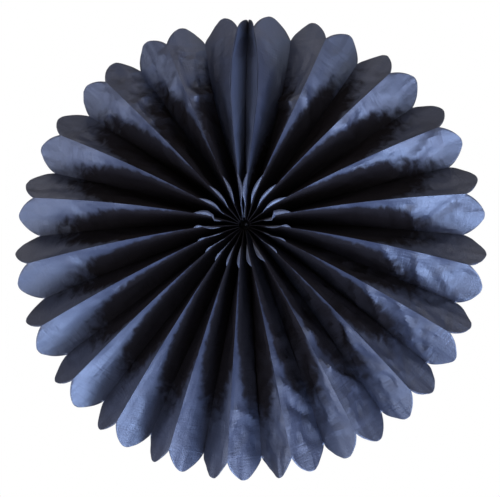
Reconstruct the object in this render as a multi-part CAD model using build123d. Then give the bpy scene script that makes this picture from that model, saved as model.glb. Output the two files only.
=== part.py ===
from build123d import *
import math
import os

# Hanging paper fan rosette, in millimetres.
# The front of the rosette faces -Y, +Z is up, and the origin is the middle of the hub.
# One long strip of tissue is folded like an accordion and opened into a full circle.
# Its mountain folds lie in front and its valley folds behind. The two end leaves meet
# at a seam at the top: their back halves are joined face to face, with tape between
# two stiff card leaves, and their front halves open to the ridges beside the seam.
# Each leaf is upright at the hub and leans over at the rim. Paper can't stretch, so it
# takes up that twist in flat triangles, with soft creases slanting between the folds.
# A thread through the inner ends of the leaves draws them into the hub.

# Sheet and cards
pleats = 20                    # whole pleats from the first mountain fold to the last
tissue = 0.3                   # thickness of the folded tissue
card = 0.45                    # thickness of the two stiff end leaves
card_margin = 0.4              # how far the cards stop short of the free back edge
glue = 0.05                    # film of glue on each face of a card
tape = 0.3                     # thickness of the tape between the cards
tape_width = 7.0               # how far the tape reaches forward from the back edge

# Rim
tip_radius = 200.0             # from the middle of the rim to the petal tips
petal_length = 15.75           # from the straight base of a petal to its tip
draw_in = 3.5                  # how far the valley folds end nearer to the middle
rim_depth = 15.5               # depth of the pleats at the rim, where they open widest
hub_rise = 13.5                # height of the hub above the middle of the rim
seam_lean = 0.6                # degrees clockwise from straight up to the seam
seam_opening = 4.4             # degrees between the two folds beside the seam, at the rim
crowding = 7.2                 # degrees by which the folds slide down towards the bottom
crowding_lag = 6.0             # degrees by which that slide is turned clockwise
sag = 1.7                      # degrees by which the folds around one of them slide further
sag_fold = 9.6                 # the number of that fold, near the bottom
sag_spread = 1.7               # how many folds on each side go with it
fold_lift = 3.0                # how far the folds bow upward, half way along
seam_bow = 7.0                 # how far those beside the seam bow away from it
bow_fade = 0.25                # share of that bow which is left one pleat further on
bow_skew = 1.6                 # power that moves its widest place out towards the rim

# Hub
hub_radius = 4.5               # open circle that the inner ends of the leaves stand on
hub_seam_opening = 38.0        # degrees of that circle left free for the seam
ridge_droop = 5.0              # how far the mountain folds aim below the middle of the hub
lobe_reach = 37.0              # length of the inner stretch whose front corner is cut round
lobe_rise = 0.6                # share of a leaf's width that is left at the hub
lobe_bulge = 0.1               # height of the round cut above its chord, in leaf widths
leaf_facets = 4                # pairs of flat triangles in which a leaf twists, ring to rim

# Petals
petal_shoulder = (0.33, 0.56)  # a point on a petal's side: across in chords, out in lengths
petal_nose = (0.09, 0.965)     # where the side of a petal meets its round nose
petal_tip = (0.05, 0.99)       # a point on the nose, between its end and the tip

# Binding thread
thread = 0.8                   # thickness of the thread
thread_gap = 0.1               # clearance between its loop and the leaf ends
thread_height = 0.15           # where the loop lies, as a share of the leaf width
knot_radius = 2.0              # half the width of the knot

pleat_step = (360 - seam_opening) / pleats
hub_step = (360 - hub_seam_opening) / pleats
mountain_radius = tip_radius - petal_length + draw_in / 2
valley_radius = tip_radius - petal_length - draw_in / 2
widest_step = pleat_step + 2 * crowding * math.sin(math.pi / pleats)
leaf_width = math.hypot(mountain_radius * math.radians(widest_step) / 2, rim_depth)
rim_middle = Vector(0, 0, -hub_rise)
half_seam = tape / 2 + glue + card + glue + tissue / 2
HUB, RING, RIM = 0, 1, leaf_facets + 1


def polar(radius, degrees):
    """A point in the plane of the rosette at a clock angle, seen from the front."""
    turn = math.radians(degrees)
    return Vector(radius * math.sin(turn), 0, radius * math.cos(turn))


def depth_at(distance):
    return Vector(0, distance, 0)


def rim_angle(fold):
    """Clock angle of a fold at the rim. Mountains are whole numbers, valleys half ones."""
    turn = math.radians(fold * 360 / pleats - crowding_lag)
    slide = crowding * (math.sin(turn) + math.sin(math.radians(crowding_lag)))
    slide += sag * math.exp(-(((fold - sag_fold) / sag_spread) ** 2))
    return seam_lean + seam_opening / 2 + fold * pleat_step + slide


def pleat_depth(half_pitch):
    """Depth of a pleat whose leaves keep their width over this half pitch."""
    return math.sqrt(leaf_width**2 - half_pitch**2)


class Crease:
    """A line along the sheet, with its points at the hub and from ring to rim. Place gives
    the point at each share of the way from hub to rim."""

    def __init__(self, place, mountain=False):
        run = place(1) - place(0)
        ring = lobe_reach / run.length
        steps = [number / leaf_facets for number in range(leaf_facets + 1)]
        self.place = place
        self.mountain = mountain
        self.at = [place(0)] + [place(ring + (1 - ring) * step) for step in steps]
        self.across = Vector(run.Z, 0, -run.X).normalized()
        self.out = (self.at[RIM] - self.at[RIM - 1]).normalized()


def fold_crease(fold):
    """The mountain or valley fold with this number, counted clockwise from the seam. It
    bows so that the leaves beside it keep their width all the way from hub to rim."""
    mountain = fold == int(fold)
    side = -1 if mountain else 1
    rim_radius = mountain_radius if mountain else valley_radius
    rim_pitch = rim_radius * math.radians(rim_angle(fold + 0.5) - rim_angle(fold - 0.5)) / 2
    hub_pitch = hub_radius * math.radians(hub_step) / 2
    hub = polar(hub_radius, seam_lean + hub_seam_opening / 2 + fold * hub_step)
    if mountain:
        hub -= Vector(0, 0, ridge_droop)
    rim = rim_middle + polar(rim_radius, rim_angle(fold))
    aside = seam_bow * (bow_fade**fold - bow_fade ** (pleats - fold))

    def place(share):
        bow = Vector(0, 0, fold_lift * math.sin(math.pi * share))
        bow += polar(aside * math.sin(math.pi * share**bow_skew), seam_lean + 90)
        depth = pleat_depth(hub_pitch + (rim_pitch - hub_pitch) * share)
        return hub + (rim - hub) * share + bow + depth_at(side * depth / 2)

    return Crease(place, mountain)


def seam_creases(ridge, side):
    """The free back edge and the middle of an end leaf, clockwise (1) of the seam or not (-1).
    The leaf lies flat against the seam up to its middle, and opens to its ridge from there."""
    out = polar(1, seam_lean)
    aside = polar(1, seam_lean + 90)
    half = leaf_width / 2
    droop = out * (ridge_droop / 2)
    hub = out * hub_radius - droop
    rim = out * out.dot(ridge.at[RIM])

    def middle(share):
        high = ridge.place(share)
        foot = hub + (rim - hub) * share + aside * (half_seam * side)
        gap = (high - foot).dot(aside)
        return foot + depth_at(high.Y + math.sqrt(half**2 - gap**2))

    def edge(share):
        return middle(share) + droop * (1 - share) + depth_at(half)

    return Crease(edge), Crease(middle)


class Leaf:
    """A leaf of the sheet. Side is 1 where its mountain fold is clockwise of its valley
    fold, and -1 where it is the other way. The front face looks into the pleat."""

    def __init__(self, valley, mountain, side, middle=None):
        self.valley = valley
        self.mountain = mountain
        self.side = side
        self.middle = middle
        self.foot = middle or valley
        self.out = middle.out if middle else (valley.out + mountain.out).normalized()

    def span(self, station):
        """Sideways and forward distance from the foot of the slope to the ridge."""
        reach = self.mountain.at[station] - self.foot.at[station]
        return self.side * reach.dot(self.valley.across), -reach.Y

    def sideways(self, station):
        """Sideways thickness that gives the sloping leaf its true thickness."""
        pitch, depth = self.span(station)
        return tissue * math.hypot(pitch, depth) / depth

    def point(self, low, high, share, offset):
        """A point beside the middle of the leaf, between two points on its folds."""
        return low + (high - low) * share + self.valley.across * (self.side * offset)

    def lobe_cut(self, low, high, offset):
        """The round cut at the inner end, from the hub to where the ridge begins. It lies
        in one plane with the foot of the leaf at the hub."""
        rise = 2 * lobe_rise - 1 if self.middle else lobe_rise
        start = self.point(self.foot.at[HUB], self.mountain.at[HUB], rise, offset)
        end = high[RING]
        chord = (end - start).normalized()
        middle = (start + end) / 2
        outward = middle - low[HUB]
        outward -= chord * outward.dot(chord)
        top = middle + outward.normalized() * (lobe_bulge * leaf_width)
        return Edge.make_three_point_arc(start, top, end)


def straight(start, end):
    return Edge.make_line(start, end)


def ruled(first, second):
    return Face.make_surface_from_curves(first, second)


def flat(points):
    return Face(Wire.make_polygon(points, close=True))


def facets(low, high, start, end):
    """The flat triangles between two lines of points, from one station to another. Their
    slanting sides run outward from the high line to the low one."""
    faces = []
    for near in range(start, end):
        far = near + 1
        faces.append(flat([low[near], high[near], low[far]]))
        faces.append(flat([high[near], high[far], low[far]]))
    return faces


def half_petal(end, middle, out):
    """Half the outline of a petal, from the end of its chord to its tip: a bulging side
    and half of the round nose."""

    def point(across, along):
        return middle + (end - middle) * (2 * across) + out * (along * petal_length)

    shoulder, nose, tip = point(*petal_shoulder), point(*petal_nose), point(*petal_tip)
    side = Edge.make_three_point_arc(end, shoulder, nose)
    return [side, Edge.make_three_point_arc(nose, tip, point(0, 1))]


def petal_outlines(lines, out):
    """The closed outlines of the flat faces of a petal, one between each two lines, and
    its cut edges. The petal of an end leaf is bent along its tip."""
    ends = [line[RIM] for line in lines]
    middle = ends[1] if len(ends) == 3 else (ends[0] + ends[-1]) / 2
    low, high = half_petal(ends[0], middle, out), half_petal(ends[-1], middle, out)
    if len(ends) == 2:
        return [[straight(*ends)] + low + high], low + high
    bend = straight(middle, low[-1] @ 1)
    halves = (ends[0], low), (ends[-1], high)
    return [[straight(end, middle), bend] + half for end, half in halves], low + high


def leaf_faces(leaf, front, back, offsets):
    """Both faces of a leaf, with its petal, its inner lobe and their cut edges. Front and
    back are lines of points, from the valley fold to the mountain fold, and offsets are
    their distances from the middle of the leaf."""
    faces = []
    edges = []
    for lines, offset in zip((front, back), offsets):
        outlines, petal_cuts = petal_outlines(lines, leaf.out)
        faces += [Face(Wire(outline)) for outline in outlines]
        for low, high in zip(lines[:-2], lines[1:-1]):
            faces += facets(low, high, HUB, RIM)
        low, high = lines[-2:]
        faces += facets(low, high, RING, RIM)
        faces.append(flat([low[HUB], low[RING], high[RING]]))
        cut = leaf.lobe_cut(low, high, offset)
        lobe = [straight(low[HUB], cut @ 0), cut, straight(high[RING], low[HUB])]
        faces.append(Face(Wire(lobe)))
        hub_points = [line[HUB] for line in lines[:-1]] + [cut @ 0]
        hub_end = [straight(*pair) for pair in zip(hub_points, hub_points[1:])]
        edges.append(petal_cuts + [cut] + hub_end)
    return faces + [ruled(near, far) for near, far in zip(*edges)]


def fold_corners(fold, before, after):
    """Three lines of points along a fold: the sharp corner inside it, and the two
    edges of the narrow flat outside it, before and after the fold."""
    inner, flat_before, flat_after = [], [], []
    other_folds = [leaf.foot if fold.mountain else leaf.mountain for leaf in (before, after)]
    for station, place in enumerate(fold.at):
        wide_before, wide_after = before.sideways(station), after.sideways(station)
        reach_before, reach_after = (other.at[station] - place for other in other_folds)
        pitch_before = -reach_before.dot(fold.across)
        pitch_after = reach_after.dot(fold.across)
        rise = (wide_before + wide_after) / 2 / (pitch_before + pitch_after)
        shift = wide_before / 2 - rise * pitch_before
        inward = (reach_before + reach_after) / 2
        inward -= fold.across * inward.dot(fold.across)
        inner.append(place + fold.across * shift + inward * rise)
        flat_before.append(place - fold.across * (wide_before / 2))
        flat_after.append(place + fold.across * (wide_after / 2))
    return inner, flat_before, flat_after


def beside(leaf, crease):
    """Two lines of points beside a crease of an end leaf, in front and behind."""
    half = leaf.side * tissue / 2
    return [[point + leaf.valley.across * shift for point in crease.at] for shift in (-half, half)]


def make_tissue_pleats(folds, leaves):
    """The folded sheet, as one closed solid of ruled and flat faces."""
    faces = []
    corners = [beside(leaves[0], folds[0])]
    for fold, before, after in zip(folds[1:], leaves, leaves[1:]):
        inner, flat_before, flat_after = fold_corners(fold, before, after)
        corners.append((inner, flat_before, flat_after))
        cut_end = RING if fold.mountain else HUB
        faces += facets(flat_before, flat_after, cut_end, RIM)
        faces.append(flat([line[RIM] for line in corners[-1]]))
        faces.append(flat([line[cut_end] for line in corners[-1]]))
    corners.append(beside(leaves[-1], folds[-1]))

    for front, back in (corners[0], corners[-1]):
        faces += facets(front, back, HUB, RIM)
    for leaf, first, second in zip(leaves, corners, corners[1:]):
        # the last line of a fold faces the leaf after it, the middle one the leaf before
        ahead, behind = first, (second[0], second[1])
        low, high = (ahead, behind) if leaf.side == 1 else (behind, ahead)
        front, back = [low[0], high[-1]], [low[-1], high[0]]
        if leaf.middle:
            for lines, line in zip((front, back), beside(leaf, leaf.middle)):
                lines.insert(1, line)
        faces += leaf_faces(leaf, front, back, (-tissue / 2, tissue / 2))
    return Solid(Shell(faces))


def make_end_card(leaf):
    """A stiff card of the shape of an end leaf, on the face that looks at the seam."""
    near = -(tissue / 2 + glue)
    far = near - card
    margin = card_margin / (leaf_width / 2)
    sheets = []
    for offset in (near, far):
        lines = [], [], []
        for station, low in enumerate(leaf.valley.at):
            middle, ridge = leaf.middle.at[station], leaf.mountain.at[station]
            slope = leaf.sideways(station) / tissue
            lines[0].append(leaf.point(low, middle, margin, offset))
            lines[1].append(leaf.point(middle, ridge, 0, offset))
            lines[2].append(leaf.point(middle, ridge, 1, offset * slope))
        sheets.append(lines)
    faces = leaf_faces(leaf, *sheets, (near, far))
    low_edges, _, high_edges = zip(*sheets)
    faces += facets(*low_edges, HUB, RIM)
    faces += facets(*high_edges, RING, RIM)
    return Solid(Shell(faces))


def make_seam_tape(first, last):
    """The strip that joins the two cards along their back edges, from hub to rim."""
    backs = [(near + far) / 2 for near, far in zip(first.at, last.at)]
    fronts = [point - depth_at(tape_width) for point in reversed(backs)]
    strip = flat([point - depth_at(card_margin) for point in backs] + fronts)
    return extrude(strip, tape / 2, polar(1, seam_lean + 90), both=True)


def make_hub_thread():
    """A loop drawn tight inside the leaf ends, tied across the middle with a knot."""
    depth = leaf_width * (0.5 - thread_height)
    plane = Plane((0, depth, -ridge_droop * thread_height), x_dir=(1, 0, 0), z_dir=(0, -1, 0))
    loop_radius = hub_radius - thread_gap - thread / 2
    strand = Plane.XZ * Pos(loop_radius, 0) * RegularPolygon(thread / 2, 8)
    loop = revolve(strand, Axis.Z)
    tie = Rot(0, 90, 0) * Cylinder(thread / 2, 2 * loop_radius)
    return plane * (loop + tie + Sphere(knot_radius))


folds = [fold_crease(number / 2) for number in range(2 * pleats + 1)]
right_edge, right_middle = seam_creases(folds[0], 1)
left_edge, left_middle = seam_creases(folds[-1], -1)
leaves = [Leaf(right_edge, folds[0], 1, right_middle)]
for first, second in zip(folds, folds[1:]):
    leaves.append(Leaf(first, second, 1) if second.mountain else Leaf(second, first, -1))
leaves.append(Leaf(left_edge, folds[-1], -1, left_middle))
folds = [right_edge] + folds + [left_edge]

parts = {
    "tissue_pleats": make_tissue_pleats(folds, leaves),
    "end_card_right": make_end_card(leaves[0]),
    "end_card_left": make_end_card(leaves[-1]),
    "seam_tape": make_seam_tape(folds[0], folds[-1]),
    "hub_thread": make_hub_thread(),
}
os.makedirs("parts", exist_ok=True)
for name, shape in parts.items():
    export_step(shape, f"parts/{name}.step")
    print(name, shape.is_valid, round(shape.volume, 1))
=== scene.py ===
import math

import bmesh
import bpy
from mathutils import Matrix, Vector, noise


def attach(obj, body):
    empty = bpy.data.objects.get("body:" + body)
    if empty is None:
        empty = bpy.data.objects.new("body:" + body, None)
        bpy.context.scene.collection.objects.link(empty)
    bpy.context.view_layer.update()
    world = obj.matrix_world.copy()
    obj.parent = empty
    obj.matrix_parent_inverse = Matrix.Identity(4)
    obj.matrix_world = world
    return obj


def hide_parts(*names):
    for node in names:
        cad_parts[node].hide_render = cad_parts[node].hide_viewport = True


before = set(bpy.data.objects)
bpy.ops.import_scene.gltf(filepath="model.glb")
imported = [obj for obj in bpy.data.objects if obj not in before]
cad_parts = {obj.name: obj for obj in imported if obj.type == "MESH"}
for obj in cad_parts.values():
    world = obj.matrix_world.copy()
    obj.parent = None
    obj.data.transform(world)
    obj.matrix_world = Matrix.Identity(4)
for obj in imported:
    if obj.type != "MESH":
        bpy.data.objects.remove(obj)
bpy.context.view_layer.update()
mm = 0.001

# The folded sheet. Sizes are in millimetres, and angles in degrees clockwise from the top,
# seen from the front. Folds are numbered clockwise from the seam: the whole numbers are
# mountain folds, in front, and the halves are valley folds, behind.
fan = {
    "pleats": 20,
    "thickness": 0.3,
    "tipRadius": 200.0,
    "petalLength": 15.75,
    "drawIn": 3.5,           # valley folds end nearer to the middle
    "rimDepth": 15.5,        # depth of the pleats at the rim, where they open widest
    "hubRise": 13.5,
    "seamLean": 0.6,
    "seamOpening": 4.4,
    "crowding": 7.2,         # folds slide down towards the bottom
    "crowdingLag": 6.0,
    "sag": 1.7,              # and a few of them slide further
    "sagFold": 9.6,
    "sagSpread": 1.7,
    "hubRadius": 4.5,
    "hubSeamOpening": 38.0,
    "ridgeDroop": 5.0,       # mountain folds aim below the middle of the hub
    "foldLift": 3.0,         # folds bow upward, half way along
    "seamBow": 7.0,          # the two folds beside the seam bow away from it
    "bowFade": 0.25,
    "bowSkew": 1.6,
    "seamHalf": 0.85,        # from the seam to the middle of an end leaf
    "lobeReach": 37.0,       # stretch at the hub whose front corner is cut round
    "lobeRise": 0.6,
    "lobeBulge": 0.37,
    "lobeClosing": 1.03,     # how far the cut edges of neighbours lean together
    "flapStart": 0.26,       # share of the cut, from the hub, where a cut edge begins to bend over
    "flapFold": 0.857,       # share of the leaf's width below the bend
    "flapOpening": 3,        # how soon the bend has its full width
    "flapSkew": 1.15,
    "flapWidth": 4.2,
    "flapRise": 2.2,
    "flapTurn": 15.5,        # up to this leaf the odd ones bend over, and the even ones after it
    "gatherDepth": 14.3,     # behind the thread, where the leaf ends are gathered
    "gatherRadius": 8.2,
    "petalAim": 1.9,         # petals point along the leaf's last stretch, from this row to row 2
    "petalShoulder": (0.33, 0.56),
    "petalNose": (0.09, 0.965),
}
# How finely each leaf is divided
mesh = {
    "columns": 14,
    "lobeRows": 14,
    "leafRows": 56,
    "petalRows": 12,
    "rowSkew": 0.75,         # rows are closer together towards the rim
    "sharpAngle": 15.0,      # edges bent more than this stay sharp
    "gatherSegments": 24,
    "mergeDistance": 1e-6,
}

pleatStep = (360 - fan["seamOpening"]) / fan["pleats"]
hubStep = (360 - fan["hubSeamOpening"]) / fan["pleats"]
mountainRadius = fan["tipRadius"] - fan["petalLength"] + fan["drawIn"] / 2
valleyRadius = mountainRadius - fan["drawIn"]
widestStep = pleatStep + 2 * fan["crowding"] * math.sin(math.pi / fan["pleats"])
leafWidth = math.hypot(mountainRadius * math.radians(widestStep) / 2, fan["rimDepth"])
rimMiddle = Vector((0, 0, -fan["hubRise"]))
leafCount = 2 * fan["pleats"] + 2


def polar(radius, degrees):
    turn = math.radians(degrees)
    return Vector((radius * math.sin(turn), 0, radius * math.cos(turn)))


def rimAngle(fold):
    turn = math.radians(fold * 360 / fan["pleats"] - fan["crowdingLag"])
    slide = fan["crowding"] * (math.sin(turn) + math.sin(math.radians(fan["crowdingLag"])))
    slide += fan["sag"] * math.exp(-(((fold - fan["sagFold"]) / fan["sagSpread"]) ** 2))
    return fan["seamLean"] + fan["seamOpening"] / 2 + fold * pleatStep + slide


def isMountain(fold):
    return fold == int(fold)


def foldPoint(fold, share):
    rimRadius = mountainRadius if isMountain(fold) else valleyRadius
    hub = polar(fan["hubRadius"], fan["seamLean"] + fan["hubSeamOpening"] / 2 + fold * hubStep)
    if isMountain(fold):
        hub.z -= fan["ridgeDroop"]
    rim = rimMiddle + polar(rimRadius, rimAngle(fold))
    place = hub.lerp(rim, share)
    place.z += fan["foldLift"] * math.sin(math.pi * share)
    aside = fan["seamBow"] * (fan["bowFade"] ** fold - fan["bowFade"] ** (fan["pleats"] - fold))
    place += polar(aside * math.sin(math.pi * share ** fan["bowSkew"]), fan["seamLean"] + 90)
    hubPitch = fan["hubRadius"] * math.radians(hubStep) / 2
    rimPitch = rimRadius * math.radians(rimAngle(fold + 0.5) - rimAngle(fold - 0.5)) / 2
    pitch = hubPitch + (rimPitch - hubPitch) * share
    depth = math.sqrt(leafWidth**2 - pitch**2) / 2
    place.y = -depth if isMountain(fold) else depth
    return place


def middlePoint(ridge, share):
    # an end leaf lies flat along the seam up to this line, and opens to its ridge from there
    away = 1 if ridge == 0 else -1
    out = polar(1, fan["seamLean"])
    beside = polar(1, fan["seamLean"] + 90)
    high = foldPoint(ridge, share)
    hub = out * (fan["hubRadius"] - fan["ridgeDroop"] / 2)
    rim = out * out.dot(foldPoint(ridge, 1))
    foot = hub.lerp(rim, share) + beside * (fan["seamHalf"] * away)
    gap = (high - foot).dot(beside)
    foot.y = high.y + math.sqrt((leafWidth / 2) ** 2 - gap**2)
    return foot


def edgePoint(ridge, share):
    droop = polar(fan["ridgeDroop"] / 2 * (1 - share), fan["seamLean"])
    return middlePoint(ridge, share) + droop + Vector((0, leafWidth / 2, 0))


def atRow(line, number, row):
    # rows 0 to 1 run from the hub to the ring where the ridges begin, 1 to 2 on to the rim
    ring = fan["lobeReach"] / (line(number, 1) - line(number, 0)).length
    return line(number, ring * row if row < 1 else ring + (1 - ring) * (row - 1))


def leafLines(number, row):
    # the valley fold, the middle and the mountain fold of a leaf, at one row
    if number in (0, leafCount - 1):
        ridge = 0 if number == 0 else fan["pleats"]
        return [atRow(line, ridge, row) for line in (edgePoint, middlePoint, foldPoint)]
    first, second = (number - 1) / 2, number / 2
    valley, mountain = (second, first) if isMountain(first) else (first, second)
    low, high = atRow(foldPoint, valley, row), atRow(foldPoint, mountain, row)
    return [low, (low + high) / 2, high]


def petalSide(share):
    # across in leaf widths and out in petal lengths, on the arc through shoulder and nose
    width, length = leafWidth, fan["petalLength"]
    ends = [(0.5, 0.0), fan["petalShoulder"], fan["petalNose"]]
    (ax, ay), (bx, by), (cx, cy) = [(x * width, y * length) for x, y in ends]
    first, second, third = ax**2 + ay**2, bx**2 + by**2, cx**2 + cy**2
    size = 2 * (ax * (by - cy) + bx * (cy - ay) + cx * (ay - by))
    middleX = (first * (by - cy) + second * (cy - ay) + third * (ay - by)) / size
    middleY = (first * (cx - bx) + second * (ax - cx) + third * (bx - ax)) / size
    start = math.atan2(ay - middleY, ax - middleX)
    end = math.atan2(cy - middleY, cx - middleX)
    turn = start + (end - start) * share
    radius = math.hypot(ax - middleX, ay - middleY)
    x = middleX + radius * math.cos(turn)
    y = middleY + radius * math.sin(turn)
    return x / width, y / length


def between(lines, share):
    low, middle, high = lines
    return low.lerp(middle, 2 * share) if share < 0.5 else middle.lerp(high, 2 * share - 1)


def flap(row):
    # how wide a cut edge is bent over at this row, 0 to 1
    place = max(row - fan["flapStart"], 0) / (1 - fan["flapStart"])
    return math.sin(math.pi * place ** fan["flapSkew"])


def leafPoint(lines, out, across, row, bent):
    # a place on a leaf, its share of the leaf's width, and how far it is out on the petal (0 to 1)
    # or on the bent edge (0 to -1)
    if row <= 1:
        # past the last part of its width a bent edge lies over its neighbour
        high = flap(row) if bent else 0
        fold = 1 - (1 - fan["flapFold"]) * min(fan["flapOpening"] * high, 1)
        over = high * (across - fold) / (1 - fold) if across > fold else 0
        across = min(across / fold, 1)
        top = fan["lobeRise"] + (1 - fan["lobeRise"]) * row + fan["lobeBulge"] * row * (1 - row)
        point = between(lines, across * top)
        # the cut edges of two neighbours lie together
        lean = lines[2] - lines[0]
        lean.y = 0
        point += lean * ((1 - top) * across * across * fan["lobeClosing"])
        point += lean.normalized() * (fan["flapWidth"] * over)
        point -= Vector((0, fan["flapRise"] * over, 0))
        return point, across * top, -over
    if row <= 2:
        return between(lines, across), across, 0
    x, y = petalSide(row - 2)
    x *= 2 * across - 1
    y += (1 - fan["petalNose"][1]) * (row - 2) * (1 - (2 * across - 1) ** 2)
    return between(lines, x + 0.5) + out * (y * fan["petalLength"]), x + 0.5, y


# The creases that stand out, each a straight line on one leaf: the leaf's number,
# both ends (across from the valley fold, out from the hub), how far it stands up towards the
# front, and how wide it falls away on the hub side and on the rim side
creases = [
    (2, 0, 110, 36, 105, 3.2, 3, 9),
    (3, 30, 115, 10, 100, 1.5, 4, 4),
    (5, 32, 115, 12, 115, 1.5, 8, 5),
    (5, 27, 130, 4, 120, -1.2, 5, 7),
    (7, 0, 120, 34, 170, 2.2, 8, 14),
    (7, 18, 90, 27, 115, 1, 4, 4),
    (9, 22, 135, 0, 140, 2.2, 4, 9),
    (9, 9, 145, 32, 170, -1.4, 6, 7),
    (9, 27, 115, 0, 120, -1, 6, 6),
    (11, 30, 115, 8, 130, 1.8, 5, 6),
    (11, 32, 140, 0, 150, 1.6, 4, 12),
    (13, 30, 115, 8, 135, 1.6, 4, 6),
    (13, 27, 100, 0, 115, 1, 5, 5),
    (13, 36, 140, 10, 165, 1.3, 5, 10),
    (15, 28, 120, 20, 135, 1.5, 4, 6),
    (15, 25, 110, 10, 125, -1.5, 5, 3),
    (16, 36, 130, 9, 155, 2.2, 4, 12),
    (16, 36, 100, 20, 110, 1.5, 4, 4),
    (18, 34, 130, 9, 150, 1.6, 4, 8),
    (18, 28, 150, 5, 165, -1.2, 4, 5),
    (20, 28, 150, 2, 160, 1.2, 4, 7),
    (28, 24, 115, 22, 90, 1, 4, 4),
    (30, 25, 145, 0, 130, 1.3, 4, 9),
    (32, 27, 145, 0, 125, 1.4, 4, 10),
    (34, 22, 140, 0, 125, 1.4, 4, 10),
    (36, 9, 150, 0, 130, -1.2, 4, 4),
    (37, 34, 135, 7, 145, 1.5, 4, 5),
    (37, 32, 115, 9, 115, 2.2, 4, 8),
    (38, 24, 135, 0, 125, 1.5, 4, 4),
    (39, 27, 115, 0, 120, 3.6, 3, 9),
    (39, 24, 95, 32, 75, 1.5, 4, 4),
]

# The crumpling of the tissue, in millimetres
crumpling = {
    "soft": 1.8,             # broad waves
    "softSpan": 30.0,
    "softStretch": 0.7,
    "softStep": 97.0,        # from one leaf's waves to the next one's
    "sharp": 2.4,            # creases where the tissue was squeezed
    "sharpSpan": 17.0,
    "sharpStretch": 0.8,
    "sharpStep": 61.0,
    "sharpLevel": 0.35,
    "fineShare": 0.5,        # and smaller ones among them
    "fineScale": 2.1,
    "holdWidth": 4.0,        # the tissue is flat this near to a fold
    "flapHold": 3,           # but not where a cut edge is bent over
    "tautUntil": 30,         # it is tautest up to here, out from the hub
    "tautFade": 60,
    "tautLeast": 0.25,
    "crease": 1.3,           # how much the creases above are deepened
    "creaseSide": 5.5,       # and how narrow they may be
    "creaseFade": 0.25,      # share of its length over which a crease fades past its ends
    "steep": 0.2,            # a crease along its leaf has its hub side towards the valley fold
}
# How crumpled the leaves are, by leaf number
crumpled = [
    (0, 0.5), (4, 0.8), (10, 0.9), (13, 1.4), (19, 1.2),
    (23, 0.5), (30, 0.5), (33, 0.9), (38, 1.3), (41, 0.6),
]


def crumpledness(number):
    for (first, low), (last, high) in zip(crumpled, crumpled[1:]):
        if number <= last:
            return low + (high - low) * (number - first) / (last - first)
    return crumpled[-1][1]


def creaseHeight(crease, u, v):
    _, u1, v1, u2, v2, height, hubSide, rimSide = crease
    run = Vector((u2 - u1, v2 - v1))
    along = run.normalized()
    across = Vector((-along.y, along.x))
    if across.y < 0 or (across.y < crumpling["steep"] and across.x < 0):
        across.negate()
    place = Vector((u - u1, v - v1))
    offset = place.dot(across)
    reach = place.dot(along) / run.length
    past = crumpling["creaseFade"]
    fade = min(max(min(reach + past, 1 + past - reach) / past, 0), 1)
    side = max(rimSide if offset > 0 else hubSide, crumpling["creaseSide"])
    return crumpling["crease"] * height * fade * max(1 - abs(offset) / side, 0)


def crumple(number, u, v, taut):
    # how far the tissue stands off its plane, in millimetres
    place = Vector((u, v * crumpling["softStretch"], number * crumpling["softStep"]))
    soft = noise.noise(place / crumpling["softSpan"])
    place = Vector((u, v * crumpling["sharpStretch"], number * crumpling["sharpStep"]))
    place = place / crumpling["sharpSpan"]
    fine = abs(noise.noise(place * crumpling["fineScale"]))
    sharp = crumpling["sharpLevel"] - abs(noise.noise(place)) - crumpling["fineShare"] * fine
    height = crumpling["soft"] * soft + crumpling["sharp"] * sharp
    height *= crumpledness(number) * taut
    return height + sum(creaseHeight(crease, u, v) for crease in creases if crease[0] == number)


# Painted shade: where the near-black that stands in for the shade far inside the pleats ends, out
# from the hub, in millimetres. It reaches furthest along the valley folds, and less far at the
# ridges of the leaves whose cut edges are bent over, which catch more light.
paintedShade = {
    "end": 156.0,
    "atRidge": 48.0,         # how much nearer to the hub it ends at a ridge
    "atBentRidge": 108.0,
    "curve": 2.9,
    "petalFree": 40.0,       # how much more of it the petals and the bent edges are free of
    "flapFree": 200.0,
    # and how much nearer to the hub it ends on some leaves, by leaf number
    "nearer": {
        0: 90, 1: 85, 2: 24, 3: 15, 9: 6, 11: 6, 13: -4, 15: -4,
        37: 10, 38: 2, 39: 24, 40: 85, 41: 90,
    },
}


def isBent(number):
    # whether this leaf's cut edge is bent over
    return number % 2 == (1 if number < fan["flapTurn"] else 0)


# painted shade: how far a place lies past the end of the shade painted into the pleats, in
# millimetres
def shadeReach(number, width, length, beyond):
    opening = paintedShade["atBentRidge" if isBent(number) else "atRidge"]
    past = length + opening * (width / leafWidth) ** paintedShade["curve"]
    past += paintedShade["nearer"].get(number, 0) - paintedShade["end"]
    return past + abs(beyond) * paintedShade["flapFree" if beyond < 0 else "petalFree"]


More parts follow.
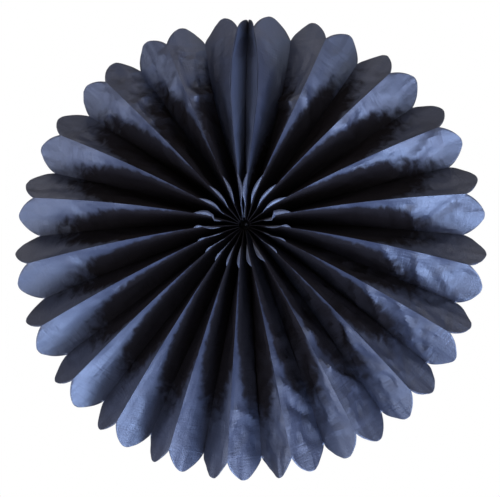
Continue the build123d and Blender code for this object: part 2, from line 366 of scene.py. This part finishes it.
def makeLeaf(bm, number, rows, placeLayer, reachLayer):
    seam = number in (0, leafCount - 1)
    reaches = {}
    ends = leafLines(number, 2)
    start = leafLines(number, fan["petalAim"])
    out = (ends[1] - start[1]).normalized()
    last = len(rows) - 1
    grid = bmesh.ops.create_grid(bm, x_segments=mesh["columns"], y_segments=last, size=1)
    for vert in grid["verts"]:
        across = (vert.co.x + 1) / 2
        row = rows[round((vert.co.y + 1) / 2 * last)]
        lines = leafLines(number, min(row, 2))
        point, share, beyond = leafPoint(lines, out, across, row, isBent(number))
        length = (lines[1] - leafLines(number, 0)[1]).length
        width = share * leafWidth
        if not seam:
            face = (lines[2] - lines[0]).cross(out).normalized()
            if face.y > 0:
                face.negate()
            hold = min(across, 1 - across) * leafWidth / crumpling["holdWidth"]
            hold = min(max(hold, abs(beyond) * crumpling["flapHold"]), 1)
            taut = (length - crumpling["tautUntil"]) / crumpling["tautFade"]
            taut = min(max(taut, crumpling["tautLeast"]), 1)
            point += face * (crumple(number, width, length, taut) * hold)
        vert.co = point * mm
        forward = share if number % 2 == 0 else 1 - share
        u = (number + forward) * leafWidth
        vert[placeLayer] = Vector((u, length + max(beyond, 0) * fan["petalLength"], beyond))
        # painted shade: how far each place lies past its end
        reaches[vert] = shadeReach(number, width, length, beyond)
    for found in {f for v in grid["verts"] for f in v.link_faces}:
        found.smooth = True
        for corner in found.loops:
            corner[reachLayer] = reaches[corner.vert]


def makeTissue():
    bm = bmesh.new()
    placeLayer = bm.verts.layers.float_vector.new("leafPlace")
    # this layer carries the painted shade's reach to the finish
    reachLayer = bm.loops.layers.float.new("shadeReach")
    rows = [n / mesh["lobeRows"] for n in range(mesh["lobeRows"])]
    rows += [1 + (n / mesh["leafRows"]) ** mesh["rowSkew"] for n in range(mesh["leafRows"])]
    rows += [2 + n / mesh["petalRows"] for n in range(mesh["petalRows"] + 1)]
    for number in range(leafCount):
        makeLeaf(bm, number, rows, placeLayer, reachLayer)
    # the gathered leaf ends close the hub behind the thread
    turn = Matrix.Rotation(math.pi / 2, 4, "X")
    turn.translation = Vector((0, fan["gatherDepth"], -fan["ridgeDroop"] / 2)) * mm
    radius = fan["gatherRadius"] * mm
    segments = mesh["gatherSegments"]
    bmesh.ops.create_circle(bm, cap_ends=True, segments=segments, radius=radius, matrix=turn)
    bmesh.ops.remove_doubles(bm, verts=bm.verts, dist=mesh["mergeDistance"])
    bmesh.ops.recalc_face_normals(bm, faces=bm.faces)
    for edge in bm.edges:
        if edge.calc_face_angle(0) > math.radians(mesh["sharpAngle"]):
            edge.smooth = False
    data = bpy.data.meshes.new("tissueSheet")
    bm.to_mesh(data)
    bm.free()
    piece = bpy.data.objects.new("tissueSheet", data)
    bpy.context.collection.objects.link(piece)
    shell = piece.modifiers.new("thickness", "SOLIDIFY")
    shell.thickness = fan["thickness"] * mm
    shell.offset = 0
    return piece


tissue = makeTissue()
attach(tissue, "root")
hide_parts("tissue_pleats")
print("tissue sheet", len(tissue.data.polygons), "faces")


class Wire:
    # a socket's value, so that shader maths is written as an expression
    def __init__(self, board, socket):
        self.board = board
        self.socket = socket

    def maths(self, operation, first, second):
        node = self.board.node("ShaderNodeMath", {"operation": operation}, {0: first, 1: second})
        return Wire(self.board, node.outputs[0])

    def __add__(self, other):
        return self.maths("ADD", self, other)

    def __sub__(self, other):
        return self.maths("SUBTRACT", self, other)

    def __mul__(self, other):
        return self.maths("MULTIPLY", self, other)

    def __pow__(self, other):
        return self.maths("POWER", self, other)


class Board:
    # the nodes of a material or of the world
    def __init__(self, holder):
        holder.use_nodes = True
        self.holder = holder
        self.tree = holder.node_tree
        self.tree.nodes.clear()

    def node(self, kind, settings=None, inputs=None):
        made = self.tree.nodes.new(kind)
        for name, value in (settings or {}).items():
            setattr(made, name, value)
        for name, value in (inputs or {}).items():
            if isinstance(value, Wire):
                self.tree.links.new(value.socket, made.inputs[name])
            else:
                made.inputs[name].default_value = value
        return made

    def wire(self, node, output=0):
        return Wire(self, node.outputs[output])

    def noise(self, place, scale, detail=2.0, distortion=0.0):
        settings = {"noise_dimensions": "3D"}
        inputs = {"Vector": place, "Scale": scale, "Detail": detail, "Distortion": distortion}
        return self.wire(self.node("ShaderNodeTexNoise", settings, inputs))

    def stretch(self, place, scale):
        settings = {"operation": "MULTIPLY"}
        return self.wire(self.node("ShaderNodeVectorMath", settings, {0: place, 1: scale}))

    def blend(self, share, first, second):
        settings = {"data_type": "RGBA"}
        inputs = {"Factor": share, 6: first, 7: second}
        return self.wire(self.node("ShaderNodeMix", settings, inputs), 2)

    def bump(self, height, distance):
        return self.wire(self.node("ShaderNodeBump", {}, {"Height": height, "Distance": distance}))

    def attribute(self, name, output):
        made = self.node("ShaderNodeAttribute", {"attribute_name": name})
        return self.wire(made, output)

    def shader(self, inputs):
        return self.wire(self.node("ShaderNodeBsdfPrincipled", {}, inputs))

    def outcome(self, shader):
        self.node("ShaderNodeOutputMaterial", {}, {0: shader})
        return self.holder

    def surface(self, inputs):
        return self.outcome(self.shader(inputs))


def finishFor(name):
    return Board(bpy.data.materials.new(name))


tissueFinish = {
    # painted shade: the near-black that stands in for the shade in the folds
    "shadeColour": (0.019, 0.0155, 0.0155, 1),
    "dye": (0.026, 0.028, 0.040, 1),
    "thin": (0.046, 0.050, 0.074, 1),
    "shadeBlend": 32.0,       # over which stretch the painted shade ends, in millimetres
    "shadeRagged": 58.0,
    "raggedGrain": (0.09, 0.14, 1),
    "shadeUneven": 40.0,      # how unevenly it ends from leaf to leaf
    "unevenGrain": (0.022, 0.012, 1),
    "sheen": 1.0,
    # the painted shade's gloss
    "shadeSheen": 0.0,
    "roughness": 0.45,
    "roughSwing": 0.2,
    # the painted shade's roughness
    "shadeRoughness": 0.7,
    "cloudScale": 0.06,      # scales of noise, for each millimetre
    "fibreScale": 0.6,
    "grainScale": 1.7,
    "patchScale": 0.035,
    "mottling": 0.45,        # how much clouds, fibres and grain lighten the dye
    "speckle": 1.2,
    "lighter": 0.05,
    "crossLines": 0.0005,    # fine wrinkles across the leaves, in metres
    "crossGrain": (0.05, 0.3, 1),
    "longLines": 0.0003,     # and along them
    "longGrain": (0.35, 0.02, 1),
    "patchiness": 2.5,       # they come in patches
    "grain": 0.00019,
}


def makeTissueFinish():
    look = tissueFinish
    finish = finishFor("dyedTissue")
    place = finish.attribute("leafPlace", "Vector")
    clouds = finish.noise(place, look["cloudScale"], 3.0, 0.4)
    fibres = finish.noise(place, look["fibreScale"], 4.0, 1.2)
    grain = finish.noise(place, look["grainScale"], 2.0)
    patches = finish.noise(place, look["patchScale"], 1.0)
    crossLines = finish.noise(finish.stretch(place, look["crossGrain"]), 1.0, 3.0, 0.6)
    longLines = finish.noise(finish.stretch(place, look["longGrain"]), 1.0, 3.0, 0.3)
    # painted shade: a dark matte finish stands in for the shade in the folds and towards the hub,
    # and ends raggedly
    ragged = finish.noise(finish.stretch(place, look["raggedGrain"]), 1.0, 6.0, 0.5)
    uneven = finish.noise(finish.stretch(place, look["unevenGrain"]), 1.0, 1.0)
    reach = finish.attribute("shadeReach", "Fac") + (ragged - 0.5) * look["shadeRagged"]
    reach = reach + (uneven - 0.5) * look["shadeUneven"]
    half = look["shadeBlend"] / 2
    spread = {"Value": reach, "From Min": -half, "From Max": half}
    opened = finish.wire(
        finish.node("ShaderNodeMapRange", {"interpolation_type": "SMOOTHSTEP"}, spread))
    share = clouds * look["mottling"] + fibres * look["mottling"]
    share = share + (grain - 0.5) * look["speckle"] + look["lighter"]
    height = crossLines * look["crossLines"] + longLines * look["longLines"]
    height = height * (patches ** 2 * look["patchiness"]) + (fibres + grain) * look["grain"]
    bump = finish.bump(height, 1.0)
    satin = finish.shader({
        "Base Color": finish.blend(share, look["dye"], look["thin"]),
        "Roughness": clouds * look["roughSwing"] + (look["roughness"] - look["roughSwing"] / 2),
        "Specular IOR Level": look["sheen"],
        "Normal": bump,
    })
    # painted shade: a dark surface with no gloss, mixed in where the shade falls
    matte = finish.shader({
        "Base Color": look["shadeColour"],
        "Roughness": look["shadeRoughness"],
        "Specular IOR Level": look["shadeSheen"],
        "Normal": bump,
    })
    mixed = finish.node("ShaderNodeMixShader", {}, {0: opened, 1: matte, 2: satin})
    return finish.outcome(finish.wire(mixed))


tissue.data.materials.append(makeTissueFinish())

cardFinish = {
    "dark": (0.034, 0.038, 0.052, 1),
    "dye": (0.075, 0.084, 0.118, 1),
    "sheen": 0.9,
    "roughness": 0.42,
    "roughSwing": 0.2,
    "lines": 0.0002,         # fine lines along the card, in metres
    "lineGrain": (700, 700, 22),
    "lineShare": 0.6,
    "cloudScale": 90.0,
}


def makeCardFinish():
    look = cardFinish
    finish = finishFor("dyedCard")
    place = finish.wire(finish.node("ShaderNodeTexCoord"), "Object")
    lines = finish.noise(finish.stretch(place, look["lineGrain"]), 1.0, 3.0, 0.3)
    clouds = finish.noise(place, look["cloudScale"], 3.0, 0.4)
    share = lines * look["lineShare"] + clouds * (1 - look["lineShare"])
    return finish.surface({
        "Base Color": finish.blend(share, look["dark"], look["dye"]),
        "Roughness": clouds * look["roughSwing"] + (look["roughness"] - look["roughSwing"] / 2),
        "Specular IOR Level": look["sheen"],
        "Normal": finish.bump(lines * look["lines"] + clouds * look["lines"], 1.0),
    })


# Tape and thread have a fine grain, which darkens them a little and stands up in metres
plain = {"grainScale": 900.0, "darkening": 0.8, "grain": 0.0001}
tapeFinish = {"dye": (0.5, 0.5, 0.48, 1), "roughness": 0.25}
threadFinish = {"dye": (0.07, 0.07, 0.075, 1), "roughness": 0.5}


def makePlainFinish(name, look):
    finish = finishFor(name)
    place = finish.wire(finish.node("ShaderNodeTexCoord"), "Object")
    grain = finish.noise(place, plain["grainScale"], 3.0)
    darker = tuple(plain["darkening"] * c for c in look["dye"][:3]) + (1,)
    return finish.surface({
        "Base Color": finish.blend(grain, darker, look["dye"]),
        "Roughness": look["roughness"],
        "Normal": finish.bump(grain, plain["grain"]),
    })


def dress(node, material):
    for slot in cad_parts[node].material_slots:
        slot.link = "OBJECT"
        slot.material = material


card = makeCardFinish()
dress("end_card_right", card)
dress("end_card_left", card)
dress("seam_tape", makePlainFinish("clearTape", tapeFinish))
dress("hub_thread", makePlainFinish("cottonThread", threadFinish))
print("finishes done")

# Stage, light and camera, in metres. Most of the light comes from below and a little to the
# right, in front of the rosette, with some from all around.
studio = {
    "floorHeight": -1.3,
    "floorSize": 4.0,
    "floorFinish": {"Base Color": (0.8, 0.8, 0.8, 1), "Roughness": 0.8},
    "roomLight": (0.16, 0.152, 0.15, 1),
    # soft boxes: clock angle, degrees in front of the rosette's plane, watts and colour
    "boxes": (
        (154, 20, 17.5, (0.41, 0.58, 1.0)),
        (160, 38, 2.4, (0.42, 0.58, 1.0)),
        (118, 18, 9.0, (0.50, 0.62, 1.0)),
        (210, 22, 4.6, (0.50, 0.64, 1.0)),
        (240, 12, 3.6, (0.56, 0.66, 1.0)),
        (270, 20, 2.8, (0.60, 0.70, 1.0)),
        (212, 50, 2.2, (0.74, 0.80, 1.0)),
        (90, 34, 1.0, (0.60, 0.74, 1.0)),
        (60, 34, 1.1, (0.60, 0.74, 1.0)),
        (30, 20, 1.2, (0.88, 0.88, 1.0)),
        (330, 14, 1.3, (0.82, 0.84, 1.0)),
    ),
    "boxDistance": 1.1,
    "boxSize": 0.42,
}
middle = rimMiddle * mm


def makeFloor():
    bm = bmesh.new()
    bmesh.ops.create_grid(bm, x_segments=1, y_segments=1, size=studio["floorSize"] / 2)
    bmesh.ops.translate(bm, verts=bm.verts, vec=(0, 0, studio["floorHeight"]))
    data = bpy.data.meshes.new("floor")
    bm.to_mesh(data)
    bm.free()
    floor = bpy.data.objects.new("floor", data)
    bpy.context.collection.objects.link(floor)
    data.materials.append(finishFor("paleFloor").surface(studio["floorFinish"]))


def aim(thing, place, target):
    thing.location = place
    thing.rotation_euler = (target - place).to_track_quat("-Z", "Y").to_euler()


def makeBoxes():
    for clock, front, watts, colour in studio["boxes"]:
        lamp = bpy.data.lights.new("softBox", "AREA")
        lamp.shape = "DISK"
        lamp.size = studio["boxSize"]
        lamp.energy = watts
        lamp.color = colour
        box = bpy.data.objects.new("softBox", lamp)
        box.visible_camera = False
        bpy.context.collection.objects.link(box)
        away = polar(math.cos(math.radians(front)), clock)
        away.y = -math.sin(math.radians(front))
        aim(box, middle + away * studio["boxDistance"], middle)


def makeWorld():
    world = bpy.data.worlds.new("studio")
    bpy.context.scene.world = world
    board = Board(world)
    room = board.wire(board.node("ShaderNodeBackground", {}, {"Color": studio["roomLight"]}))
    white = board.wire(board.node("ShaderNodeBackground", {}, {"Color": (1, 1, 1, 1)}))
    seen = board.wire(board.node("ShaderNodeLightPath"), "Is Camera Ray")
    mixed = board.wire(board.node("ShaderNodeMixShader", {}, {0: seen, 1: room, 2: white}))
    board.node("ShaderNodeOutputWorld", {}, {0: mixed})


# The picture is 500 pixels wide, and a pixel is 0.844 mm at the middle of the rim.
view = {
    "azimuth": 6.5,
    "elevation": -12.0,
    "pixels": 500,
    "distancePixels": 885.0,
    "pixelSize": 0.844,
    "axisPixel": (244.4, 235.5),
    "frameMiddle": (250.0, 248.5),
    "sensor": 36,
}


def makeCamera():
    data = bpy.data.cameras.new("camera")
    data.sensor_width = view["sensor"]
    data.lens = view["sensor"] * view["distancePixels"] / view["pixels"]
    data.shift_x = (view["frameMiddle"][0] - view["axisPixel"][0]) / view["pixels"]
    data.shift_y = (view["axisPixel"][1] - view["frameMiddle"][1]) / view["pixels"]
    camera = bpy.data.objects.new("camera", data)
    bpy.context.collection.objects.link(camera)
    around, above = math.radians(view["azimuth"]), math.radians(view["elevation"])
    flat = math.cos(above)
    back = Vector((math.sin(around) * flat, -math.cos(around) * flat, math.sin(above)))
    aim(camera, middle + back * (view["distancePixels"] * view["pixelSize"] * mm), middle)
    bpy.context.scene.camera = camera


makeFloor()
makeBoxes()
makeWorld()
makeCamera()
bpy.context.scene.view_settings.view_transform = "Standard"
print("studio done")
